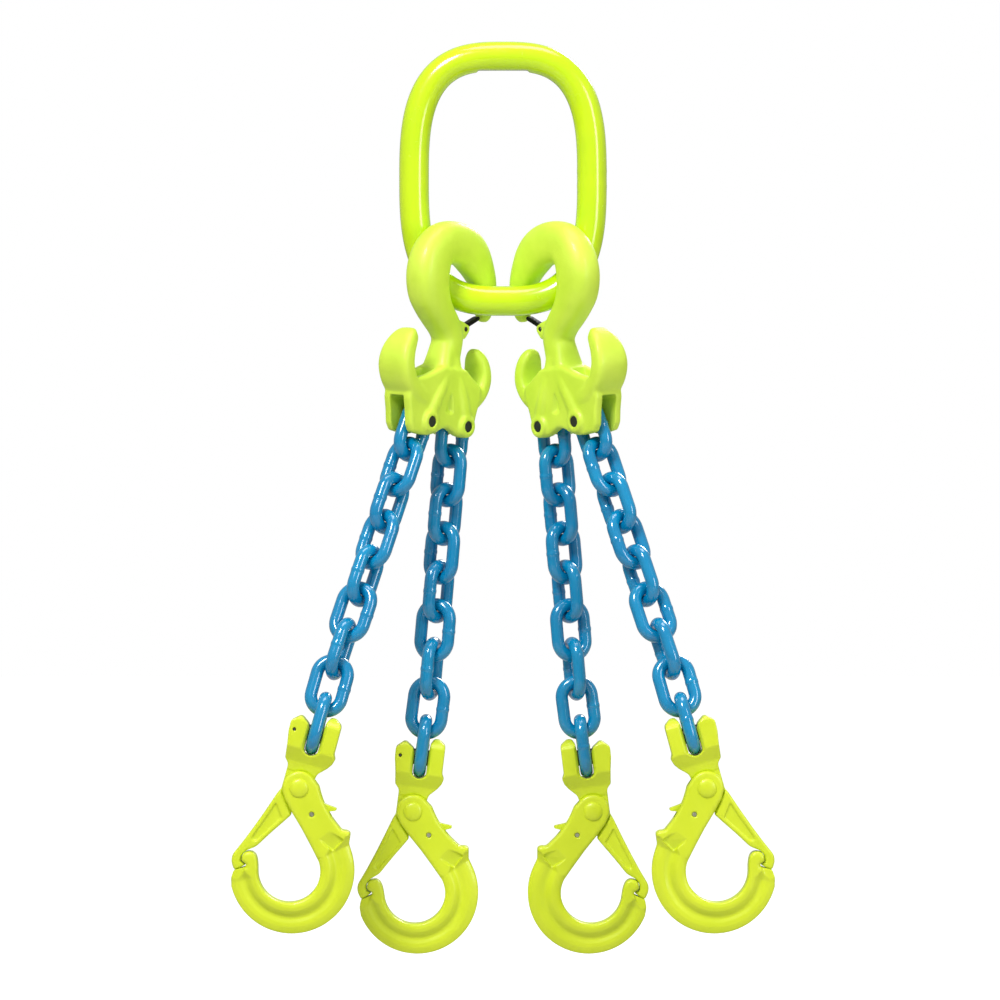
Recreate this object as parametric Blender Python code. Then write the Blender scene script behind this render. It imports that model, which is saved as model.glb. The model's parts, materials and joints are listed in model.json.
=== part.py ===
"""Four leg chain sling.

A master link carries two C-hook couplers.  Each coupler has a keeper across its mouth, two
clevises with load pins and two shortening claws.  Each clevis carries a leg of nine welded
links, and each leg ends in a self-locking hook: a head with its clevis and latch arm, a hook
body that swings on the hinge rivet, a trigger and a load pin.

Outlines and sizes are in millimetres and become metres through MM.  The origin is the seat in
the crown of the master link, +Z is up, and the sling hangs straight down from it.
"""
import math

import bmesh
import bpy
from mathutils import Matrix, Vector

MM = 0.001
GAP = 0.3

# Master link: a superellipse of round bar
MASTER_WIRE = 11.5
MASTER_HALF_WIDTH = 68.6
MASTER_HALF_HEIGHT = 94.3
MASTER_POWER = 2.95
MASTER_STEPS = 48
MASTER_FIRST_STEP = 0.3
MASTER_SIDES = 12
SEAT_LAND = 0.9

# Chain: short round links, one mesh for all but the first of each leg
CHAIN_WIRE = 4.75
CHAIN_PITCH = 30.0
CHAIN_INNER_WIDTH = 13.5
CHAIN_NOMINAL_WIRE = 5.0
LINKS_PER_LEG = 9
LINK_ARC_STEPS = 6
LINK_SIDES = 8

# Load pins of the couplers and of the hooks
PIN_RADIUS = 6.1
PIN_TO_LINK_MIDDLE = CHAIN_PITCH / 2 - PIN_RADIUS - 0.15
WIRE_TO_LINK_MIDDLE = CHAIN_PITCH / 2 - CHAIN_NOMINAL_WIRE

# Coupler placement: where it hangs on the lower corner of the master link, and how it is turned
COUPLER_X = 33.5
COUPLER_TURN = 50.0
COUPLER_LEAN = 4.2
COUPLER_ROLL = 4.7

# Coupler body, in its own plane: x across, z along the neck.  The master link's bar crosses
# the plane at COUPLER_SEAT, and the forging's origin is put there.
COUPLER_SEAT = (10.0, -1.8)
CLEVIS_X = {"outer": -24.0, "inner": 19.0}
CLEVIS_Z = -101.6
CLEVIS_HALF_WIDTH = 15.5
CLEVIS_BOSS = 11.0
CLEVIS_SLOT = 7.0
CLAW_SLOT = 6.5
KEEPER_PIVOT = (14.5, -27.0)
KEEPER_ANGLE = 29.1
KEEPER_LENGTH = 22.3
KEEPER_PIN_RADIUS = 1.6
KEEPER_HALF_WIDTH = 2.6

# Legs: tilt across the sling and lean front to back, in degrees; the last two links share the
# hook's tilt.  Outer legs come first.
CHAIN_TILT = {"outer": 18.1, "inner": 5.0}
HOOK_TILT = {"outer": 15.6, "inner": 7.5}
LEG_LEAN = {"outer": -14.2, "inner": 0.5}
LINKS_ON_HOOK_TILT = 2
LINK_TWIST = (48, -42, 48, -42, 56, -25, 73, -8, 90)

# Hook, in its own plane: origin on the hinge rivet, z towards the load pin
PIN_X = 0.8
PIN_Z = 42.0
HOOK_HALF_DEPTH = 11.0
FORK_HALF_GAP = 5.8
EYE_HALF_DEPTH = 5.4
HEAD_HALF_DEPTH = 13.0
EAR_RADIUS = 15.5
ARM_HALF_DEPTH = 8.0
EYE_RADIUS = 12.0
CHEEK_RADIUS = 13.0
RIVET_RADIUS = 5.5
RIVET_HEAD_RADIUS = 7.2
BOWL_CENTRE = (9.5, -62.5)
BOWL_RADIUS = 23.5
RIM_CENTRE = (11.5, -62.0)
RIM_RADIUS = 47.0
LATCH_HEEL_RADIUS = 70.6
BOWL_TOE_RADIUS = 69.9
TRIGGER_PIVOT = (14.5, -16.5)
TRIGGER_PIN_RADIUS = 1.75
TRIGGER_HALF_DEPTH = 5.0


# ---------------------------------------------------------------- outlines and solids

def arc(centre, radius, start, end, count):
    """Points on an arc in the x-z plane; angles in degrees, both ends included."""
    points = []
    for step in range(count + 1):
        angle = math.radians(start + (end - start) * step / count)
        points.append((centre[0] + radius * math.cos(angle), centre[1] + radius * math.sin(angle)))
    return points


def finish(bm):
    """Turn a closed bmesh into a mesh with its faces pointing out."""
    bmesh.ops.recalc_face_normals(bm, faces=bm.faces)
    mesh = bpy.data.meshes.new("solid")
    bm.to_mesh(mesh)
    bm.free()
    return mesh


def loft(rings, closed=False):
    """Skin a row of rings that have the same number of points; a closed row makes a hoop."""
    bm = bmesh.new()
    rows = [[bm.verts.new(Vector(point) * MM) for point in ring] for ring in rings]
    count = len(rows[0])
    pairs = list(zip(rows, rows[1:]))
    if closed:
        pairs.append((rows[-1], rows[0]))
    for near, far in pairs:
        for index in range(count):
            following = (index + 1) % count
            bm.faces.new((near[index], near[following], far[following], far[index]))
    if not closed:
        bm.faces.new(rows[0])
        bm.faces.new(rows[-1])
    return finish(bm)


def prism(outline, half_depth, middle_y=0.0):
    """A straight-sided block: an outline in the x-z plane, given depth along y."""
    front = [(x, middle_y - half_depth, z) for x, z in outline]
    back = [(x, middle_y + half_depth, z) for x, z in outline]
    return loft([front, back])


def turned(profile, axis, centre=(0.0, 0.0, 0.0), sides=16):
    """A turned piece: (position, radius) pairs along the x or the y axis."""
    rings = []
    for along, radius in profile:
        ring = []
        for side in range(sides):
            angle = 2 * math.pi * (side + 0.5) / sides
            across = radius * math.cos(angle)
            up = radius * math.sin(angle)
            offset = (along, across, up) if axis == "x" else (across, along, up)
            ring.append(tuple(c + o for c, o in zip(centre, offset)))
        rings.append(ring)
    return loft(rings)


def pin(radius, start, end, axis, centre=(0.0, 0.0, 0.0), sides=16):
    """A plain round pin between two positions on its axis."""
    return turned([(start, radius), (end, radius)], axis, centre, sides)


def combine(first, second, operation):
    """Join two meshes, or cut the second from the first, and return the result."""
    base = bpy.data.objects.new("base", first)
    tool = bpy.data.objects.new("tool", second)
    for item in (base, tool):
        bpy.context.scene.collection.objects.link(item)
    modifier = base.modifiers.new("combine", "BOOLEAN")
    modifier.operation = operation
    modifier.solver = "EXACT"
    modifier.object = tool
    evaluated = base.evaluated_get(bpy.context.evaluated_depsgraph_get())
    result = bpy.data.meshes.new_from_object(evaluated)
    for item in (base, tool):
        bpy.data.objects.remove(item)
    return result


def join(*meshes):
    """The union of several meshes."""
    result = meshes[0]
    for mesh in meshes[1:]:
        result = combine(result, mesh, "UNION")
    return result


def cut(base, *tools):
    """A mesh with several others cut from it."""
    for tool in tools:
        base = combine(base, tool, "DIFFERENCE")
    return base


# ---------------------------------------------------------------- master link and chain

def master_radius(angle):
    """Distance from the middle of the master link to the centre of its bar."""
    across = abs(math.cos(angle)) / MASTER_HALF_WIDTH
    up = abs(math.sin(angle)) / MASTER_HALF_HEIGHT
    return (across ** MASTER_POWER + up ** MASTER_POWER) ** (-1 / MASTER_POWER)


def master_middle():
    """Height of the middle of the master link below the seat."""
    return MASTER_WIRE - MASTER_HALF_HEIGHT - SEAT_LAND


def master_point(angle):
    """A point on the centre line of the master link's bar."""
    radius = master_radius(angle)
    return Vector((radius * math.cos(angle), 0, master_middle() + radius * math.sin(angle)))


def master_link():
    """The bar swept round its superellipse, with a small flat land for a crane hook."""
    rings = []
    for step in range(MASTER_STEPS):
        angle = 2 * math.pi * (step + MASTER_FIRST_STEP) / MASTER_STEPS
        centre = master_point(angle)
        along = (master_point(angle + 0.01) - master_point(angle - 0.01)).normalized()
        outward = along.cross(Vector((0, 1, 0)))
        ring = []
        for side in range(MASTER_SIDES):
            turn = 2 * math.pi * (side + 0.5) / MASTER_SIDES
            offset = outward * math.cos(turn) + Vector((0, math.sin(turn), 0))
            ring.append(centre + MASTER_WIRE * offset)
        if min(point.z for point in ring) > -3 * SEAT_LAND:
            for point in ring:
                point.z = max(point.z, 0)
        rings.append(ring)
    return loft(rings, closed=True)


def link_mesh(hinge_to_middle):
    """One chain link with its origin on the pin or wire that it hangs on."""
    bend = CHAIN_INNER_WIDTH / 2 + CHAIN_NOMINAL_WIRE
    straight = (CHAIN_PITCH - CHAIN_INNER_WIDTH) / 2
    path = arc((0, straight), bend, 0, 180, LINK_ARC_STEPS)
    path += arc((0, -straight), bend, 180, 360, LINK_ARC_STEPS)
    rings = []
    for index, (x, z) in enumerate(path):
        middle_z = straight if index <= LINK_ARC_STEPS else -straight
        outward = Vector((x, 0, z - middle_z)).normalized()
        centre = Vector((x, 0, z - hinge_to_middle))
        ring = []
        for side in range(LINK_SIDES):
            turn = 2 * math.pi * (side + 0.5) / LINK_SIDES
            ring.append(centre + CHAIN_WIRE * (outward * math.cos(turn) + Vector((0, math.sin(turn), 0))))
        rings.append(ring)
    return loft(rings, closed=True)


# ---------------------------------------------------------------- coupler

def limb(stations, sides=12, squareness=1.0):
    """A forging limb: (x, z, half width, half depth) stations; squareness below 1 fills its corners."""
    points = [Vector((x, 0, z)) for x, z, _, _ in stations]
    rings = []
    for index, (_, _, half_width, half_depth) in enumerate(stations):
        along = points[min(index + 1, len(points) - 1)] - points[max(index - 1, 0)]
        across = along.normalized().cross(Vector((0, 1, 0)))
        ring = []
        for side in range(sides):
            turn = 2 * math.pi * (side + 0.5) / sides
            wide = half_width * math.copysign(abs(math.cos(turn)) ** squareness, math.cos(turn))
            deep = half_depth * math.copysign(abs(math.sin(turn)) ** squareness, math.sin(turn))
            ring.append(points[index] + across * wide + Vector((0, deep, 0)))
        rings.append(ring)
    return loft(rings)


def coupler_hook():
    """The C from its tip over the crown and down into the neck."""
    return limb([
        (40.5, -19, 2.5, 3), (40.5, -15, 5.2, 6), (40.5, -7, 6.4, 7.5), (39.6, 1, 7.8, 8.5),
        (36.4, 9.5, 10.6, 9.5), (29.6, 19.3, 13, 10.5), (20, 29, 15.6, 11.5), (8.5, 35.8, 16.2, 12),
        (-6, 37.6, 16.6, 12.5), (-19, 34.4, 16.4, 12.8), (-27.5, 24.6, 17, 13.6), (-29.8, 11.5, 17.4, 14.2),
        (-27, -1.5, 16.4, 14), (-20.5, -11.5, 14, 13.6), (-13.2, -19, 12.6, 13), (-5.2, -26, 12, 12.2),
        (0.5, -34, 11.6, 11.6), (0.8, -42, 11.4, 11.4), (0, -52, 11.6, 11.4), (0, -64, 14, 12),
        (0, -80, 20, 12),
    ], squareness=0.82)


def outer_claw():
    """The large shortening claw, on the side away from the middle of the sling."""
    return limb([
        (-20, -84, 8, 13), (-38, -81.5, 7.8, 14.6), (-49, -73, 7.2, 15), (-54.5, -62, 7, 15),
        (-54, -50, 6.6, 14), (-49.2, -40.5, 6.2, 11.6), (-44, -34.2, 5, 8.6), (-40.6, -31.8, 2.4, 4.5),
    ], squareness=0.75)


def inner_claw():
    """The smaller shortening claw, on the side of the middle of the sling."""
    return limb([
        (16, -84, 8, 12), (31.5, -80.5, 6.7, 12.4), (38.8, -73, 6, 12), (41.6, -64, 5.6, 11.8),
        (40.6, -55, 5.2, 10.8), (37.2, -47.5, 4.6, 8.8), (34.2, -42.8, 3.4, 5.6), (33, -41, 1.6, 2.8),
    ], squareness=0.75)


def clevis_block():
    """The broad foot that carries the claws' floors and both clevises."""
    outline = [(-13, -58), (13, -58), (24, -65), (33, -70), (34, -80)]
    outline += arc((CLEVIS_X["inner"], CLEVIS_Z), CLEVIS_BOSS, 20, -120, 5)
    outline += [(5, -106), (-3, -102), (-11, -106)]
    outline += arc((CLEVIS_X["outer"], CLEVIS_Z), CLEVIS_BOSS, -60, -110, 3)
    outline += [(-42, -111.5), (-46, -106), (-48, -96), (-51, -86), (-50, -72), (-30, -66)]
    return prism(outline, CLEVIS_HALF_WIDTH)


def keeper_shoulder():
    """The corner of the neck that holds the keeper's pin."""
    return prism([(4, -20), (12, -21.5), (19, -24), (19.5, -28), (15, -35), (4, -36)], 7)


def coupler_mesh():
    """The coupler forging with its two load pins."""
    body = join(coupler_hook(), clevis_block(), outer_claw(), inner_claw(), keeper_shoulder())
    link_top = CLEVIS_Z + CHAIN_PITCH / 2 + 2 * CHAIN_NOMINAL_WIRE - PIN_TO_LINK_MIDDLE
    slot_roof = link_top + 1
    link_slot = prism([(-60, slot_roof), (60, slot_roof), (60, -130), (-60, -130)], CLEVIS_SLOT)
    outer_groove = prism([(-46, -50), (-16, -50), (-16, -76), (-46, -76)], CLAW_SLOT)
    inner_groove = prism([(16, -52), (36, -52), (36, -76), (16, -76)], CLAW_SLOT)
    keeper_slot = prism([(10.5, -15), (25, -15), (25, -30.6), (10.5, -30.6)], KEEPER_HALF_WIDTH + GAP)
    x, z = KEEPER_PIVOT
    keeper_hole = pin(KEEPER_PIN_RADIUS + GAP, -20, 20, "y", (x, 0, z), 12)
    body = cut(body, link_slot, outer_groove, inner_groove, keeper_slot, keeper_hole)
    for middle_x in CLEVIS_X.values():
        load_pin = pin(PIN_RADIUS, 0.5 - CLEVIS_HALF_WIDTH, CLEVIS_HALF_WIDTH - 0.5, "y",
                       (middle_x, 0, CLEVIS_Z))
        body = join(body, load_pin)
    body.transform(shift(-COUPLER_SEAT[0], 0, -COUPLER_SEAT[1]))
    return body


def keeper_mesh():
    """The keeper lever, lying from its pin to the tip of the C."""
    eye = arc((0, 0), 3.2, 90, 270, 6)
    lever = eye + [(3, -2), (KEEPER_LENGTH - 1, -1.6), (KEEPER_LENGTH, 0), (KEEPER_LENGTH - 1, 1.6), (3, 2)]
    body = prism(lever, KEEPER_HALF_WIDTH)
    return cut(body, pin(KEEPER_PIN_RADIUS + GAP, -5, 5, "y", sides=12))


# ---------------------------------------------------------------- hook

def head_mesh():
    """Clevis, eye and latch arm in one forging, with its origin on the load pin."""
    clevis = [(-13, 14), (-16.5, 19), (-18, 30), (-19.5, 40), (-19.5, 47), (-17, 51.5), (-13, 53)]
    clevis += [(-7, 50.5), (-5.2, 48)]
    clevis += arc((PIN_X, 31), 6, 180, 360, 6)
    clevis += [(6.8, 50), (8, 56), (10, 57.5), (16, 56.5), (18.3, 52)]
    clevis += [(18.5, 30), (20.5, 27), (17, 20), (11, 14)]
    neck = [(-13, 18), (12, 18)] + arc((0, 0), EYE_RADIUS, 40, -35, 4)
    neck += [(0, -18), (-6, -28), (-16, -24), (-13, -6)]
    arm = [(-13.2, -4), (-15, -8), (-20, -23), (-25, -37), (-30, -50), (-33.5, -58), (-35, -62), (-33.5, -68)]
    arm += [(-30.5, -71.5), (-27, -69.7)]
    arm += arc((0, 0), LATCH_HEEL_RADIUS, -109.5, -113, 2)
    arm += [(-28.6, -61), (-26.5, -57), (-22, -53), (-19, -50.5), (-15, -44), (-10, -36), (-5, -28.5)]
    arm += [(-0.4, -21.3)]
    side_view = arc((0, PIN_Z), EAR_RADIUS, 35, 145, 8) + [(-HEAD_HALF_DEPTH, 10), (HEAD_HALF_DEPTH, 10)]
    ear_shape = loft([[(x, y, z) for y, z in side_view] for x in (-30, 30)])
    clevis_mesh = combine(prism(clevis, HEAD_HALF_DEPTH + 1), ear_shape, "INTERSECT")
    head = join(prism(neck, EYE_HALF_DEPTH), prism(arm, ARM_HALF_DEPTH), clevis_mesh)
    sweep_cut = pin(CHEEK_RADIUS + 2 * GAP, EYE_HALF_DEPTH, 20, "y", sides=24)
    back_cut = pin(CHEEK_RADIUS + 2 * GAP, -20, -EYE_HALF_DEPTH, "y", sides=24)
    pin_hole = pin(PIN_RADIUS + GAP, -30, 30, "x", (0, 0, PIN_Z))
    rivet_hole = pin(RIVET_RADIUS + GAP, -10, 10, "y")
    mesh = cut(head, sweep_cut, back_cut, pin_hole, rivet_hole)
    mesh.transform(Matrix.Translation(Vector((0, 0, -PIN_Z)) * MM))
    return mesh


def body_mesh():
    """Forked shank, bowl and tip, with the hinge rivet closed in the fork."""
    outline = arc((0, 0), CHEEK_RADIUS, 200, 45, 8)
    outline += [(20, -4.5), (29, -14), (37, -20.5), (40, -21.5), (45, -21.5), (47, -25), (47.5, -30)]
    outline += arc(RIM_CENTRE, RIM_RADIUS, 32, -152, 15)
    outline += [(-30.4, -79), (-30.2, -72.4), (-26.7, -70.5), (-22.9, -68.3)]
    outline += arc((0, 0), BOWL_TOE_RADIUS, -109.2, -112.8, 2)
    outline += [(-27.9, -61), (-25.9, -57.4), (-21.5, -56), (-17, -58), (-14.5, -63)]
    outline += arc(BOWL_CENTRE, BOWL_RADIUS, 200, 400, 10)
    outline += [(20, -39.5), (10, -29), (0, -19.5)]
    body = prism(outline, HOOK_HALF_DEPTH)
    fork = prism([(-30, 5), (5, 30), (40, -5), (21, -23), (12, -31), (-14, -20)], FORK_HALF_GAP)
    x, z = TRIGGER_PIVOT
    trigger_hole = pin(TRIGGER_PIN_RADIUS + GAP, -20, 20, "y", (x, 0, z), 12)
    body = cut(body, fork, trigger_hole)
    flange = HOOK_HALF_DEPTH
    half_rivet = [(flange - 0.5, RIVET_RADIUS), (flange - 0.5, RIVET_HEAD_RADIUS)]
    half_rivet += [(flange + 1.2, RIVET_HEAD_RADIUS), (flange + 2.4, 4.5)]
    rivet = turned([(-y, radius) for y, radius in reversed(half_rivet)] + half_rivet, "y")
    return join(body, rivet)


def trigger_mesh():
    """The trigger lever with its pin; the spur stands outside the shank."""
    x, z = TRIGGER_PIVOT
    outline = [(13.2, 1.5), (15.5, 2.5), (17.5, -3.5), (22, -6.5), (31, -8), (31, -9.2), (27, -10.5)]
    outline += [(22, -15), (20, -19.5), (15.5, -21.8), (10.5, -20), (8.8, -16), (11.5, -8)]
    lever = prism([(px - x, pz - z) for px, pz in outline], TRIGGER_HALF_DEPTH)
    return join(lever, pin(TRIGGER_PIN_RADIUS, 0.4 - HOOK_HALF_DEPTH, HOOK_HALF_DEPTH - 0.4, "y", sides=12))


# ---------------------------------------------------------------- placing

def turn(axis, degrees):
    """A rotation about one axis."""
    return Matrix.Rotation(math.radians(degrees), 4, axis)


def shift(x, y, z):
    """A move, in millimetres."""
    return Matrix.Translation(Vector((x, y, z)) * MM)


def on_side(matrix, side):
    """A placement for the left side, turned about for the right side of the sling."""
    if side == "left":
        return matrix
    return Matrix.Diagonal((-1, 1, 1, 1)) @ matrix @ Matrix.Diagonal((1, -1, 1, 1))


def wire_height(x):
    """Height of the bar's centre line on the lower half of the master link."""
    share = 1 - (x / MASTER_HALF_WIDTH) ** MASTER_POWER
    return master_middle() - MASTER_HALF_HEIGHT * share ** (1 / MASTER_POWER)


def coupler_hinge():
    """Left coupler on the bar's axis: turned outwards to the front, leaning and rolled."""
    place = shift(-COUPLER_X, 0, wire_height(COUPLER_X))
    return place @ turn("Z", COUPLER_TURN) @ turn("X", COUPLER_LEAN) @ turn("Y", COUPLER_ROLL)


def coupler_plane():
    """The frame of the left coupler's outlines."""
    return coupler_hinge() @ shift(-COUPLER_SEAT[0], 0, -COUPLER_SEAT[1])


def leg_places(leg):
    """Placements of the nine links, the hook head and the hook body of a left leg."""
    hinge = coupler_plane() @ Vector((CLEVIS_X[leg] * MM, 0, CLEVIS_Z * MM))
    places = []
    for number in range(LINKS_PER_LEG):
        on_hook_tilt = number >= LINKS_PER_LEG - LINKS_ON_HOOK_TILT
        tilt = HOOK_TILT[leg] if on_hook_tilt else CHAIN_TILT[leg]
        direction = turn("Y", tilt) @ turn("X", LEG_LEAN[leg])
        places.append(Matrix.Translation(hinge) @ direction @ turn("Z", LINK_TWIST[number]))
        to_middle = PIN_TO_LINK_MIDDLE if number == 0 else WIRE_TO_LINK_MIDDLE
        last = number == LINKS_PER_LEG - 1
        to_end = PIN_TO_LINK_MIDDLE if last else CHAIN_PITCH - WIRE_TO_LINK_MIDDLE
        hinge = hinge + direction @ Vector((0, 0, -(to_middle + to_end) * MM))
    hook = Matrix.Translation(hinge) @ turn("Y", HOOK_TILT[leg])
    places.append(hook @ shift(-PIN_X, 0, 0))
    places.append(hook @ shift(-PIN_X, 0, -PIN_Z))
    return places


def material(name, colour, roughness, metallic):
    """A plain Principled material."""
    finish_material = bpy.data.materials.new(name)
    finish_material.use_nodes = True
    shader = finish_material.node_tree.nodes["Principled BSDF"]
    shader.inputs["Base Color"].default_value = (*colour, 1)
    shader.inputs["Roughness"].default_value = roughness
    shader.inputs["Metallic"].default_value = metallic
    return finish_material


def add(name, mesh, place, parent, finish_material, smooth_angle=50):
    """One named piece; it hangs on its parent but keeps its own place."""
    piece = bpy.data.objects.new(name, mesh)
    bpy.context.scene.collection.objects.link(piece)
    if not mesh.materials:
        mesh.materials.append(finish_material)
        mesh.shade_smooth()
        mesh.set_sharp_from_angle(angle=math.radians(smooth_angle))
    piece.matrix_basis = place
    if parent is not None:
        piece.parent = parent[0]
        piece.matrix_parent_inverse = parent[1].inverted()
    return piece, place


def build():
    """The whole sling."""
    for old in list(bpy.data.objects):
        bpy.data.objects.remove(old)
    glossy_yellow = material("master_paint", (0.62, 0.86, 0.01), 0.22, 0.0)
    cast_yellow = material("coupler_paint", (0.5, 0.78, 0.03), 0.5, 0.0)
    hook_yellow = material("hook_paint", (0.68, 0.82, 0.02), 0.4, 0.0)
    chain_blue = material("chain_paint", (0.0, 0.2, 0.55), 0.25, 0.0)
    black_steel = material("black_steel", (0.01, 0.01, 0.011), 0.4, 0.8)

    first_link = link_mesh(PIN_TO_LINK_MIDDLE)
    plain_link = link_mesh(WIRE_TO_LINK_MIDDLE)
    coupler = coupler_mesh()
    keeper = keeper_mesh()
    keeper_pin = pin(KEEPER_PIN_RADIUS, -6.8, 6.8, "y", sides=12)
    head = head_mesh()
    body = body_mesh()
    trigger = trigger_mesh()
    head_pin = pin(PIN_RADIUS, -16, 16, "x")

    master = add("master_link", master_link(), Matrix(), None, glossy_yellow)
    for side in ("left", "right"):
        hanger = add(f"{side}_coupler", coupler, on_side(coupler_hinge(), side), master, cast_yellow)
        pivot = coupler_plane() @ shift(KEEPER_PIVOT[0], 0, KEEPER_PIVOT[1])
        lying = pivot @ turn("Y", -KEEPER_ANGLE)
        add(f"{side}_keeper_pin", keeper_pin, on_side(pivot, side), hanger, black_steel)
        add(f"{side}_keeper", keeper, on_side(lying, side), hanger, black_steel)
        for leg in ("outer", "inner"):
            name = f"{side}_{leg}"
            places = [on_side(place, side) for place in leg_places(leg)]
            carrier = hanger
            for number in range(LINKS_PER_LEG):
                mesh = first_link if number == 0 else plain_link
                carrier = add(f"{name}_link_{number + 1}", mesh, places[number], carrier, chain_blue)
            carrier = add(f"{name}_hook_head", head, places[-2], carrier, hook_yellow)
            add(f"{name}_load_pin", head_pin, places[-2] @ shift(PIN_X, 0, 0), carrier, black_steel)
            carrier = add(f"{name}_hook_body", body, places[-1], carrier, hook_yellow)
            trigger_place = places[-1] @ shift(TRIGGER_PIVOT[0], 0, TRIGGER_PIVOT[1])
            add(f"{name}_trigger", trigger, trigger_place, carrier, hook_yellow)


build()
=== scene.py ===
"""Looks for a four leg chain sling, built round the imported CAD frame.

Lengths are in millimetres and become metres through MM.  Every piece is built in its own local
frame, the same one as its CAD body: x across, z up, y through its thickness.
"""
import json
import math

import bmesh
import bpy
from mathutils import Matrix, Vector


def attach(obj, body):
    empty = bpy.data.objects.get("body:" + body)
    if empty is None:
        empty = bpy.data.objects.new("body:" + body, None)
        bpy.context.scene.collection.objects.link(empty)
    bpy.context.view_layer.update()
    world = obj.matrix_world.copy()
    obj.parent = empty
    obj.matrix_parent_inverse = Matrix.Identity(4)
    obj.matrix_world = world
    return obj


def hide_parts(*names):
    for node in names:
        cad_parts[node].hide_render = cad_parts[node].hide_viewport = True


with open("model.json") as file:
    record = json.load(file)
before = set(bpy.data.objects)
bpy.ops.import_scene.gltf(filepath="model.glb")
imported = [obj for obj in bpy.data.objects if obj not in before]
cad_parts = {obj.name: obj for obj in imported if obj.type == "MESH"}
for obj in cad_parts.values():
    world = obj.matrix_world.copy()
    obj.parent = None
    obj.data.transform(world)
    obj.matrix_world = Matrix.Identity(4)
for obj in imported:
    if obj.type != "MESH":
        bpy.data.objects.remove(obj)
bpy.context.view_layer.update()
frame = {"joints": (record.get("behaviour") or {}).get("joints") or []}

MM = 0.001
FIT = 0.05          # how much wider a hole is than its pin, in radius
JOINTS = {joint["name"]: joint for joint in frame["joints"]}

# Master link
MASTER_WIRE = 11.5
MASTER_HALF_WIDTH = 68.6
MASTER_HALF_HEIGHT = 94.3
MASTER_POWER = 2.95
SEAT_LAND = 0.9
SEAT_HALF_WIDTH = 22.0
BAR_EASE = 0.004    # keeps the weld rings inside the bar's packed size

# Chain
LINKS = 9
CHAIN_WIRE = 4.85
CHAIN_BEND = 11.75
CHAIN_STRAIGHT = 8.25
PIN_TO_LINK_MIDDLE = 8.75
WIRE_TO_LINK_MIDDLE = 10.0

# Coupler, in the plane of its two clevis pins, with the origin inside the C
CLEVIS_X = {"outer": -24.0, "inner": 19.0}
CLEVIS_Z = -101.6
CHEEK_HALF_DEPTH = 13.6
COUPLER_SLOT = 7.0
CLAW_GROOVE = 6.5
SLOT_ROOF = -84.3
KEEPER_PIVOT = (14.5, -27.0)
KEEPER_LENGTH = 22.3
KEEPER_ANGLE = 29.1
KEEPER_HALF_WIDTH = 2.6

# Hook, in its own plane with the rivet at the origin
PIN_X = 0.8
PIN_Z = 42.0
PIN_RADIUS = 6.1
PIN_END = 4.3
LOCK_PIN_X = -15.3
CLEVIS_HALF_DEPTH = 14.0
CLEVIS_SLOT = 5.4
LINK_SWEEP = CHAIN_BEND + CHAIN_WIRE + 0.6
EYE_HALF_DEPTH = 5.4
FORK_HALF_GAP = 5.8
ARM_HALF_DEPTH = 8.0
BODY_HALF_DEPTH = 11.0
LATCH_HEEL_RADIUS = 70.6
BOWL_TOE_RADIUS = 69.9
BOWL_CENTRE = (9.5, -62.5)
BOWL_RADIUS = 23.5
RIM_CENTRE = (11.5, -62.0)
RIM_RADIUS = 47.0
GROOVE_CENTRE = (10.5, -62.2)
GROOVE_START = -168.0
GROOVE_SWEEP = 215.0
TRIGGER_PIVOT = (14.5, -16.5)

# Stage, in metres
FLOOR_HEIGHT = -0.86
FLOOR_HALF_WIDTH = 12.0
MIDDLE = (0, 0, -0.35)
CAMERA_PLACE = (-0.0023, -4.2, -0.3315)


# ---------------------------------------------------------------- outlines

def arc(centre, radius, start, end, count):
    """Points on an arc in the x-z plane; angles in degrees, both ends included."""
    points = []
    for step in range(count + 1):
        angle = math.radians(start + (end - start) * step / count)
        points.append((centre[0] + radius * math.cos(angle), centre[1] + radius * math.sin(angle)))
    return points


def through(points, per_span=6):
    """A smooth open curve through points of any number of dimensions."""
    smooth = []
    last = len(points) - 1
    for index in range(last):
        before, start, end, after = (points[max(index - 1, 0)], points[index], points[index + 1],
                                     points[min(index + 2, last)])
        for step in range(per_span):
            t = step / per_span
            smooth.append(tuple(
                0.5 * (2 * b + (c - a) * t + (2 * a - 5 * b + 4 * c - d) * t * t
                       + (3 * b - a - 3 * c + d) * t ** 3)
                for a, b, c, d in zip(before, start, end, after)))
    smooth.append(tuple(points[-1]))
    return smooth


def inset(outline, distance):
    """A closed outline drawn in by a distance, for rounded edges."""
    area = sum(a[0] * b[1] - b[0] * a[1] for a, b in zip(outline, outline[1:] + outline[:1]))
    side = 1 if area > 0 else -1
    result = []
    count = len(outline)
    for index, here in enumerate(outline):
        before = Vector(outline[index - 1])
        after = Vector(outline[(index + 1) % count])
        point = Vector(here)
        first = (point - before).normalized()
        second = (after - point).normalized()
        normal = Vector((-(first.y + second.y), first.x + second.x)) * side
        if normal.length < 1e-6:
            normal = Vector((-first.y, first.x)) * side
        normal.normalize()
        lean = max(0.5, normal.dot(Vector((-first.y, first.x)) * side))
        moved = point + normal * (distance / lean)
        result.append((moved.x, moved.y))
    return result


# ---------------------------------------------------------------- solids

def finish(bm):
    """A closed bmesh as a mesh with its faces pointing out."""
    bmesh.ops.recalc_face_normals(bm, faces=bm.faces)
    mesh = bpy.data.meshes.new("solid")
    bm.to_mesh(mesh)
    bm.free()
    return mesh


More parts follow.
